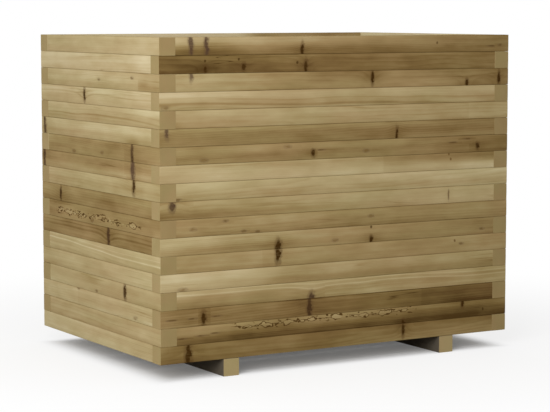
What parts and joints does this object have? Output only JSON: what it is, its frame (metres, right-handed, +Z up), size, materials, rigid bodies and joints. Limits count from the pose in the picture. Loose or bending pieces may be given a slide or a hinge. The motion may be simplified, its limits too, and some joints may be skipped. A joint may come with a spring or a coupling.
{
  "type": "raised planter",
  "caption": "Rectangular raised planter of stacked square pine battens lapped alternately at the corners, on two runners, with a slatted drained floor inside.",
  "frame": {"origin": "on the ground under the middle of the planter", "axes": "+X left to right along the long walls, +Y front to back, +Z up"},
  "size_m": [0.9, 0.6, 0.722],
  "materials": {
    "batten_wood": "planed, impregnated pine",
    "runner_wood": "planed, impregnated pine",
    "floor_wood": "planed, impregnated pine",
    "screw_steel": "zinc plated"
  },
  "bodies": {
    "root": {"back_wall_screws": "screw_steel", "course_01_long_battens": "batten_wood", "course_01_short_battens": "batten_wood", "course_02_long_battens": "batten_wood", "course_02_short_battens": "batten_wood", "course_03_long_battens": "batten_wood", "course_03_short_battens": "batten_wood", "course_04_long_battens": "batten_wood", "course_04_short_battens": "batten_wood", "course_05_long_battens": "batten_wood", "course_05_short_battens": "batten_wood", "course_06_long_battens": "batten_wood", "course_06_short_battens": "batten_wood", "course_07_long_battens": "batten_wood", "course_07_short_battens": "batten_wood", "course_08_long_battens": "batten_wood", "course_08_short_battens": "batten_wood", "course_09_long_battens": "batten_wood", "course_09_short_battens": "batten_wood", "course_10_long_battens": "batten_wood", "course_10_short_battens": "batten_wood", "course_11_long_battens": "batten_wood", "course_11_short_battens": "batten_wood", "course_12_long_battens": "batten_wood", "course_12_short_battens": "batten_wood", "course_13_long_battens": "batten_wood", "course_13_short_battens": "batten_wood", "course_14_long_battens": "batten_wood", "course_14_short_battens": "batten_wood", "course_15_long_battens": "batten_wood", "course_15_short_battens": "batten_wood", "course_16_long_battens": "batten_wood", "course_16_short_battens": "batten_wood", "course_17_long_battens": "batten_wood", "course_17_short_battens": "batten_wood", "course_18_long_battens": "batten_wood", "course_18_short_battens": "batten_wood", "floor_board_1": "floor_wood", "floor_board_2": "floor_wood", "floor_board_3": "floor_wood", "floor_board_4": "floor_wood", "floor_board_5": "floor_wood", "floor_screws": "screw_steel", "front_wall_screws": "screw_steel", "left_runner": "runner_wood", "left_wall_screws": "screw_steel", "right_runner": "runner_wood", "right_wall_screws": "screw_steel", "rim_screws": "screw_steel", "runner_screws": "screw_steel"}
  },
  "joints": []
}
